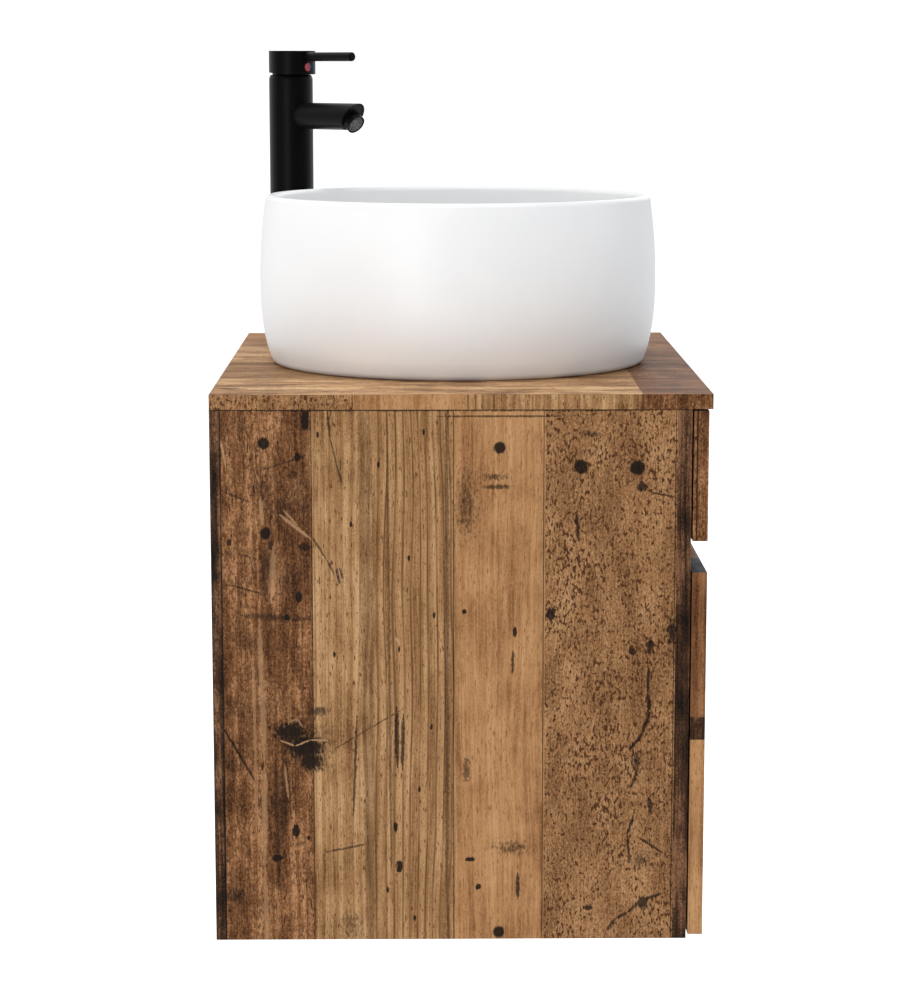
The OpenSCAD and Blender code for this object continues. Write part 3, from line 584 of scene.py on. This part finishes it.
def wood_panel(name, planks, joints, draw, scratch=None):
    """Material of an upright side panel: planks stand side by side, measured from the wall."""
    material, graph, shader = new_material(name)
    x, y, z = millimetres(graph)
    across = graph.math("MULTIPLY", y, -1.0)
    colour, fibre = plank_colour(graph, across, across, z, x, planks)
    rough = ragged_noise(graph, across, z)
    marks = Marks(graph, across, z, rough, joint_mask(graph, across, joints))
    draw(marks)
    colour = graph.mix(marks.darkness(), colour, NEAR_BLACK)
    if scratch:
        pale = Marks(graph, across, z, rough, 0.0)
        scratch(pale)
        colour = graph.mix(pale.darkness(), colour, PALE_SCRATCH)
    finish_wood(graph, shader, colour, fibre)
    return material


def facing(graph, axis):
    """1 where the surface faces along the given axis, 0 elsewhere."""
    normal = graph.separate(graph.add("NewGeometry").outputs["Normal"])[axis]
    return graph.math("GREATER_THAN", graph.math("ABSOLUTE", normal), 0.7)


def wood_worktop():
    """Top: planks that run from the wall to the front, jointed across near the front edge.
    Its edges carry an upright band of the same print."""
    material, graph, shader = new_material("worktop_planks")
    x, y, z = millimetres(graph)
    from_wall = graph.math("MULTIPLY", y, -1.0)
    from_left = graph.math("ADD", x, HALF_WIDTH)
    # The pale planks: partly their own lighter tone, partly painted light for the top's sheen and the
    # light from above.
    main, fibre = plank_colour(graph, from_left, from_left, y, z,
                               [(109.0, "pale"), (240.0, "straw"), (370.0, "pale"),
                                (500.0, "amber")])
    front, _ = plank_colour(graph, from_left, from_left, y, z,
                            [(109.0, "russet"), (240.0, "worn"), (500.0, "russet")])
    band, _ = plank_colour(graph, from_wall, from_wall, z, x,
                           [(113.5, "flecked"), (202.0, "amber"), (231.0, "reeded"),
                            (344.0, "straw"), (400.0, "worn")])
    top = graph.mix(graph.math("GREATER_THAN", from_wall, 344.0), main, front)
    marks = Marks(graph, from_wall, from_left, ragged_noise(graph, from_left, from_wall),
                  joint_mask(graph, from_left, [109.0, 370.0]))
    worktop_marks(marks)
    top = graph.mix(marks.darkness(), top, NEAR_BLACK)
    edge_marks = joint_mask(graph, from_wall, [113.5, 344.0])
    band = graph.mix(edge_marks, band, NEAR_BLACK)
    colour = graph.mix(facing(graph, 2), band, top)
    finish_wood(graph, shader, colour, fibre)
    return material


def worktop_marks(marks):
    """Cracks and stains of the worktop: across is from the wall, along is from its left end."""
    marks.line_mark((338.0, 109.0), (398.0, 109.0), 2.2)
    marks.line_mark((20.0, 60.0), (60.0, 64.0), 5.0, 0.5)
    marks.line_mark((30.0, 30.0), (75.0, 34.0), 4.0, 0.45)
    marks.line_mark((210.0, 20.0), (255.0, 14.0), 3.0, 0.5)
    marks.spot(14.0, 40.0, 12.0, 8.0, ragged=2.2, edge=0.8, strength=0.7)
    marks.line_mark((10.0, 88.0), (110.0, 80.0), 2.0, 0.6)
    marks.line_mark((270.0, 60.0), (344.0, 66.0), 2.0, 0.6)
    marks.line_mark((300.0, 24.0), (396.0, 30.0), 2.4, 0.65)
    marks.spot(372.0, 60.0, 16.0, 9.0, ragged=2.4, edge=0.9, strength=0.6)
    marks.line_mark((120.0, 44.0), (180.0, 40.0), 1.6, 0.5)
    marks.spot(365.0, 330.0, 18.0, 60.0, ragged=1.6, edge=0.9, strength=0.35)
    marks.spot(45.0, 430.0, 20.0, 14.0, ragged=1.6, edge=0.9, strength=0.35)


def wood_front(name, low, planks, joints, draw, streak=None):
    """Material of a drawer front: planks that lie level, from its foot at the height low. Its
    ends and its top and bottom edges carry bands; streak is the place of a dark line on its
    ends."""
    material, graph, shader = new_material(name)
    x, y, z = millimetres(graph)
    rise = graph.math("SUBTRACT", z, low)
    face, fibre = plank_colour(graph, rise, rise, x, y, planks)
    band, _ = plank_colour(graph, rise, y, z, x, planks)
    marks = Marks(graph, x, rise, ragged_noise(graph, rise, x), joint_mask(graph, rise, joints))
    draw(marks)
    face = graph.mix(marks.darkness(), face, NEAR_BLACK)
    if streak:
        gap = graph.math("ABSOLUTE", graph.math("SUBTRACT", y, streak))
        band = graph.mix(graph.step(gap, 0.4, 1.1, 0.85, 0.0), band, NEAR_BLACK)
    from_left = graph.math("ADD", x, HALF_WIDTH)
    # The first 66 mm of the top and bottom edges from the left end are near-black blue-grey.
    rim, _ = plank_colour(graph, from_left, y, x, z, [(66.0, "slate"), (500.0, "russet")])
    colour = graph.mix(facing(graph, 0), face, band)
    colour = graph.mix(facing(graph, 2), colour, rim)
    finish_wood(graph, shader, colour, fibre)
    return material


def wood_bottom():
    """Material of the cabinet's bottom: planks that run along the wall."""
    material, graph, shader = new_material("bottom_planks")
    x, y, z = millimetres(graph)
    across = graph.math("MULTIPLY", y, -1.0)
    colour, fibre = plank_colour(graph, across, across, x, z,
                                 [(120.0, "straw"), (215.0, "worn"), (384.0, "amber")])
    colour = graph.mix(joint_mask(graph, across, [120.0, 215.0]), colour, NEAR_BLACK)
    finish_wood(graph, shader, colour, fibre)
    return material


def side_right_marks(marks):
    """Nail holes and burns of the right side panel."""
    marks.spot(40.0, 15.0, 5.0, 5.2)
    marks.spot(41.0, -350.0, 5.0, 5.0)
    marks.spot(128.0, -90.0, 4.6, 5.0)
    marks.spot(205.0, 20.0, 5.2, 5.4)
    marks.spot(208.0, -360.0, 4.8, 5.2)
    marks.spot(318.0, 10.0, 5.0, 5.4)
    marks.spot(190.0, -180.0, 20.0, 9.0, ragged=2.2)
    marks.spot(196.0, -190.0, 12.0, 10.0, ragged=1.6)
    marks.line_mark((150.0, -30.0), (158.0, -120.0), 1.2, 0.7)
    marks.line_mark((330.0, -200.0), (326.0, -300.0), 1.4, 0.7)
    marks.line_mark((60.0, -250.0), (110.0, -236.0), 1.1, 0.6)
    marks.spot(300.0, -260.0, 3.0, 6.0, ragged=1.4)


def upper_front_marks(marks):
    """Marks of the upper drawer front: across is x, along is the height above its foot."""
    marks.spot(-225.0, 78.0, 5.0, 5.0)
    marks.spot(-224.0, 26.0, 4.6, 5.0)
    marks.spot(222.0, 52.0, 5.0, 5.2)
    marks.spot(60.0, 44.0, 16.0, 9.0, ragged=2.0)
    marks.line_mark((-150.0, 70.0), (-60.0, 76.0), 1.2, 0.7)
    marks.line_mark((110.0, 20.0), (190.0, 24.0), 1.3, 0.7)


def lower_front_marks(marks):
    """Marks of the lower drawer front: across is x, along is the height above its foot."""
    marks.spot(-226.0, 255.0, 5.2, 5.2)
    marks.spot(-225.0, 208.0, 4.8, 5.0)
    marks.spot(224.0, 230.0, 5.0, 5.2)
    marks.spot(-222.0, 80.0, 5.0, 5.0)
    marks.spot(226.0, 120.0, 5.2, 5.0)
    marks.spot(224.0, 36.0, 4.8, 5.0)
    marks.spot(-70.0, 236.0, 20.0, 10.0, ragged=2.2)
    marks.spot(-60.0, 230.0, 10.0, 12.0, ragged=1.6)
    marks.spot(120.0, 96.0, 22.0, 6.0, ragged=2.6, edge=0.9, strength=0.6)
    marks.line_mark((-40.0, 60.0), (60.0, 66.0), 1.3, 0.7)
    marks.line_mark((130.0, 250.0), (200.0, 262.0), 1.1, 0.6)


def give(material, slot, *nodes):
    """Puts a material on carried-over CAD nodes."""
    for node in nodes:
        target = frame["nodes"][node]
        target.data.materials.clear()
        target.data.materials.append(material)


def soften(width_mm, *nodes):
    """Small rounded edges on carried-over CAD nodes."""
    for node in nodes:
        bevel = frame["nodes"][node].modifiers.new("soft_edges", "BEVEL")
        bevel.width = width_mm * MM
        bevel.segments = 2
        bevel.limit_method = "ANGLE"
        bevel.angle_limit = math.radians(40)


def dress_cabinet():
    left = wood_panel("side_left_planks",
                      [(8.2, "char"), (80.7, "worn"), (128.0, "straw"), (193.8, "reeded"),
                       (265.7, "amber"), (370.8, "flecked"), (384.0, "char")],
                      [8.2, 80.7, 193.8, 265.7, 370.8], side_left_marks, side_left_scratches)
    right = wood_panel("side_right_planks",
                       [(92.0, "flecked"), (166.0, "amber"), (250.0, "worn"), (318.0, "reeded"),
                        (374.0, "straw"), (384.0, "char")],
                       [92.0, 166.0, 250.0, 374.0], side_right_marks)
    give(left, "old_wood", "side_panel_left")
    give(right, "old_wood", "side_panel_right")
    give(wood_worktop(), "old_wood", "worktop")
    give(wood_bottom(), "old_wood", "bottom_panel")
    for node, planks, joints, draw, streak in (
            ("upper_front", [(105.0, "worn")], [], upper_front_marks, -388.0),
            ("lower_front", [(163.0, "amber"), (182.0, "char"), (301.0, "russet")],
             [163.0, 182.0], lower_front_marks, None)):
        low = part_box(node)[0].z / MM
        material = wood_front(node + "_planks", low, planks, joints, draw, streak)
        give(material, "old_wood", node)
    soften(0.9, "worktop", "side_panel_left", "side_panel_right", "upper_front", "lower_front",
           "bottom_panel")


# ---------- plain materials of the inner parts ----------


def speckled(name, dark, light, cell_mm, roughness, metallic=0.0, bump_mm=0.0):
    """A moulded, cast or plated surface: slight colour and gloss variation with fine grain."""
    material, graph, shader = new_material(name)
    x, y, z = millimetres(graph)
    point = graph.combine(*(graph.math("DIVIDE", part, cell_mm) for part in (x, y, z)))
    grain = graph.noise(point, 3.0, 0.6)
    graph.feed(shader.inputs["Base Color"], graph.mix(graph.step(grain, -0.25, 0.25), dark, light))
    graph.feed(shader.inputs["Roughness"],
               graph.step(grain, -0.3, 0.3, roughness * 0.88, roughness * 1.12))
    shader.inputs["Metallic"].default_value = metallic
    if bump_mm:
        bump(graph, shader, grain, bump_mm, 0.5)
    return material


def brushed(name, dark, light, roughness):
    """Rolled and plated steel with lines along the sheet."""
    material, graph, shader = new_material(name)
    x, y, z = millimetres(graph)
    lines = graph.noise(graph.combine(graph.math("DIVIDE", x, 0.8), graph.math("DIVIDE", y, 40.0),
                                      graph.math("DIVIDE", z, 0.8)), 3.0, 0.6)
    spangle = graph.noise(graph.combine(graph.math("DIVIDE", x, 9.0), graph.math("DIVIDE", y, 9.0),
                                        graph.math("DIVIDE", z, 9.0)), 1.0, 0.5)
    tone = graph.math("ADD", lines, spangle)
    graph.feed(shader.inputs["Base Color"], graph.mix(graph.step(tone, -0.4, 0.4), dark, light))
    graph.feed(shader.inputs["Roughness"],
               graph.step(tone, -0.4, 0.4, roughness * 0.8, roughness * 1.2))
    shader.inputs["Metallic"].default_value = 1.0
    bump(graph, shader, lines, 0.02, 0.4)
    return material


def melamine():
    """Pale wood-grain melamine of the drawer boxes and inner rails."""
    material, graph, shader = new_material("melamine")
    x, y, z = millimetres(graph)
    long_side = graph.math("DIVIDE", graph.math("ADD", x, y), 70.0)
    bent = graph.math("MULTIPLY_ADD", graph.noise(graph.combine(long_side, 0.0, 0.0), 1.0), 12.0, z)
    rings = graph.noise(graph.combine(long_side, graph.math("DIVIDE", bent, 5.0), 0.0), 3.0, 0.6)
    fibre = graph.noise(graph.combine(graph.math("MULTIPLY", long_side, 3.0),
                                      graph.math("DIVIDE", z, 0.7), 0.0), 2.0, 0.6)
    tone = graph.math("ADD", rings, graph.math("MULTIPLY", fibre, 0.5))
    colour = graph.mix(graph.step(tone, -0.35, 0.35), (0.47, 0.33, 0.19), (0.66, 0.52, 0.35))
    graph.feed(shader.inputs["Base Color"], colour)
    shader.inputs["Roughness"].default_value = 0.5
    bump(graph, shader, fibre, 0.03, 0.4)
    return material


def nodes_in_slot(slot):
    """Names of the record's nodes that take their finish from a slot."""
    return [part["node"] for part in frame["record"]["subparts"] if part["material_slot"] == slot]


def dress_inner_parts():
    slots = {
        "inner_board": melamine(),
        "dowel": speckled("beech", (0.50, 0.33, 0.18), (0.66, 0.47, 0.28), 1.2, 0.7, bump_mm=0.05),
        "zinc_steel": brushed("zinc_plate", (0.42, 0.44, 0.47), (0.62, 0.64, 0.66), 0.34),
        "screw_steel": speckled("bright_zinc", (0.50, 0.51, 0.53), (0.68, 0.69, 0.71), 2.0, 0.28,
                                metallic=1.0),
        "white_plastic": speckled("white_plastic", (0.76, 0.76, 0.74), (0.82, 0.82, 0.80), 0.6,
                                  0.42, bump_mm=0.02),
        "rubber": speckled("rubber", (0.012, 0.012, 0.012), (0.028, 0.028, 0.028), 0.5, 0.75,
                           bump_mm=0.03),
        "brass": speckled("brass", (0.62, 0.42, 0.16), (0.80, 0.58, 0.26), 1.5, 0.28, metallic=1.0),
        "matt_black": matt_black(),
    }
    for slot, material in slots.items():
        give(material, slot, *nodes_in_slot(slot))


# ---------- basin, waste and tap ----------


def matt_black():
    """Matt black powder coat, with a very fine orange-peel relief."""
    material, graph, shader = new_material("matt_black")
    x, y, z = millimetres(graph)
    point = graph.combine(*(graph.math("DIVIDE", part, 0.35) for part in (x, y, z)))
    grain = graph.noise(point, 2.0, 0.5)
    colour = graph.mix(graph.step(grain, -0.3, 0.3), (0.0015, 0.0015, 0.0016),
                       (0.0024, 0.0024, 0.0026))
    graph.feed(shader.inputs["Base Color"], colour)
    graph.feed(shader.inputs["Roughness"], graph.step(grain, -0.3, 0.3, 0.36, 0.44))
    rim = graph.add("LayerWeight").outputs["Facing"]
    graph.feed(shader.inputs["Specular IOR Level"], graph.step(rim, 0.15, 0.75, 0.05, 0.30))
    bump(graph, shader, grain, 0.008, 0.3)
    return material


def glaze():
    """White vitreous glaze: nearly even, with the faint waviness of a fired surface."""
    material, graph, shader = new_material("basin_glaze")
    x, y, z = millimetres(graph)
    point = graph.combine(*(graph.math("DIVIDE", part, 55.0) for part in (x, y, z)))
    wave = graph.noise(point, 2.0, 0.5)
    colour = graph.mix(graph.step(wave, -0.3, 0.3), (0.855, 0.857, 0.860), (0.880, 0.880, 0.878))
    graph.feed(shader.inputs["Base Color"], colour)
    graph.feed(shader.inputs["Roughness"], graph.step(wave, -0.3, 0.3, 0.34, 0.40))
    shader.inputs["Specular IOR Level"].default_value = 0.3
    bump(graph, shader, wave, 0.3, 0.15)
    return material


def index_enamel(centre):
    """Gloss enamel of the index button: mostly red, with a blue part on the cold side."""
    material, graph, shader = new_material("index_enamel")
    x, y, _ = millimetres(graph)
    blue, red = (0.008, 0.022, 0.12), (0.36, 0.022, 0.030)
    blue_end, red_start = -2.2, -2.0
    side = graph.math("SUBTRACT", graph.math("SUBTRACT", y, x), (centre.y - centre.x) / MM)
    colour = graph.mix(graph.step(side, blue_end, red_start), blue, red)
    graph.feed(shader.inputs["Base Color"], colour)
    shader.inputs["Roughness"].default_value = 0.3
    return material


def arc(centre_x, centre_z, radius, start, end, steps):
    """Points of a circular arc in the plane of a lathe profile, angles in degrees."""
    angles = (math.radians(start + (end - start) * i / steps) for i in range(steps + 1))
    return [(centre_x + radius * math.cos(a), centre_z + radius * math.sin(a)) for a in angles]


def turn_profile(bm, profile, segments):
    """Adds a turned skin to bm, from a half section in mm, about the vertical."""
    turn = [2 * math.pi * i / segments for i in range(segments)]
    rings = [[bm.verts.new((radius * MM * math.cos(a), radius * MM * math.sin(a), height * MM))
              for a in turn] for radius, height in profile]
    for low, high in zip(rings, rings[1:]):
        for i in range(segments):
            j = (i + 1) % segments
            bm.faces.new((low[i], low[j], high[j], high[i]))


def finish_piece(name, bm, place):
    """Turns bm into an object at its place, a matrix."""
    bmesh.ops.remove_doubles(bm, verts=bm.verts, dist=1e-6)
    bmesh.ops.recalc_face_normals(bm, faces=bm.faces)
    mesh = bpy.data.meshes.new(name)
    bm.to_mesh(mesh)
    bm.free()
    mesh.transform(place)
    piece = bpy.data.objects.new(name, mesh)
    bpy.context.scene.collection.objects.link(piece)
    return piece


def basin_profile(widest, height):
    """Half section of the basin: foot, bulging wall, full-round rim, bowl and drain."""
    swell = 72.0
    tuck_at_foot = 10.5
    tuck_at_rim = 5.5
    foot = widest - 16.5
    foot_bend = 7.5
    wall = 9.0
    extra_wall_at_foot = 3.0
    floor = 22.0
    step = 4.0

    def outer(z):
        if z < swell:
            return widest - tuck_at_foot * ((swell - z) / swell) ** 2.4
        return widest - tuck_at_rim * ((z - swell) / (height - swell)) ** 2

    def inner(z):
        return outer(z) - wall - extra_wall_at_foot * (height - z) / height

    rim = wall / 2
    rim_middle = outer(height - rim) - rim
    bend = 62.0
    bend_z = floor + 2.0 + bend
    bend_x = inner(bend_z) - bend
    flange, flange_depth = 33.0, 2.5
    drain = 22.5
    recess, recess_depth = foot - 20.0, 8.0
    profile = [(foot - 14.0, 0.0)]
    profile += arc(foot, foot_bend, foot_bend, -90.0, -15.0, 10)
    profile += [(outer(12.0 + step * i), 12.0 + step * i) for i in range(32)]
    profile += arc(rim_middle, height - rim, rim, 0.0, 180.0, 16)
    profile += [(inner(138.0 - step * i), 138.0 - step * i) for i in range(13)]
    profile += arc(bend_x, bend_z, bend, 0.0, -90.0, 24)
    profile += [(60.0, floor + 0.6), (flange, floor), (flange, floor - flange_depth),
                (drain, floor - flange_depth), (drain, 0.0), (50.0, 0.0), (56.0, recess_depth),
                (recess, recess_depth), (foot - 14.0, 0.0)]
    return profile


def make_basin():
    low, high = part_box("basin")
    middle = (low + high) / 2
    bm = bmesh.new()
    turn_profile(bm, basin_profile((high.x - low.x) / 2 / MM, (high.z - low.z) / MM), 224)
    basin = finish_piece("basin_glazed", bm, Matrix.Translation((middle.x, middle.y, low.z)))
    basin.data.shade_smooth()
    basin.data.materials.append(glaze())
    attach(basin, "cabinet")
    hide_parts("basin")


def make_aerator_screen():
    """Rings and spokes of the strainer, sunk in the aerator's collar."""
    ring_radii = (1.2, 3.0, 4.8, 6.6)
    half_wire, bottom, top = 0.35, -0.9, -0.35
    spokes, spoke_middle, spoke_length, spoke_wire, spoke_level = 8, 4.0, 5.4, 0.5, -0.68
    out = Vector((-1.0, -1.0, -math.tan(SPOUT_FACE_SLOPE) * math.sqrt(2))).normalized()
    collar = [vertex.co for vertex in frame["nodes"]["aerator"].data.vertices]
    rim_level = max(point.dot(out) for point in collar)
    rim = [point for point in collar if point.dot(out) > rim_level - 0.1 * MM]
    centre = sum(rim, Vector()) / len(rim)
    bm = bmesh.new()
    for radius in ring_radii:
        low, high = radius - half_wire, radius + half_wire
        turn_profile(bm, [(low, bottom), (high, bottom), (high, top), (low, top), (low, bottom)], 48)
    for i in range(spokes):
        turn = Matrix.Rotation(2 * math.pi * i / spokes, 4, "Z")
        shape = Matrix.Translation((spoke_middle * MM, 0.0, spoke_level * MM)) @ Matrix.Diagonal(
            (spoke_length * MM, spoke_wire * MM, spoke_wire * MM, 1.0))
        bmesh.ops.create_cube(bm, size=1.0, matrix=turn @ shape)
    place = Matrix.Translation(centre) @ out.to_track_quat("Z", "Y").to_matrix().to_4x4()
    screen = finish_piece("aerator_screen", bm, place)
    screen.data.materials.append(speckled("strainer", (0.10, 0.10, 0.10), (0.18, 0.18, 0.18), 0.4,
                                          0.5))
    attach(screen, "cabinet")


def dress_tap():
    soften(0.35, "handle_cap", "tap_spout", "aerator", "index_button")
    low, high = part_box("index_button")
    give(index_enamel((low + high) / 2), "index_enamel", "index_button")
    make_aerator_screen()


make_camera()
make_studio()
dress_cabinet()
dress_inner_parts()
make_basin()
dress_tap()
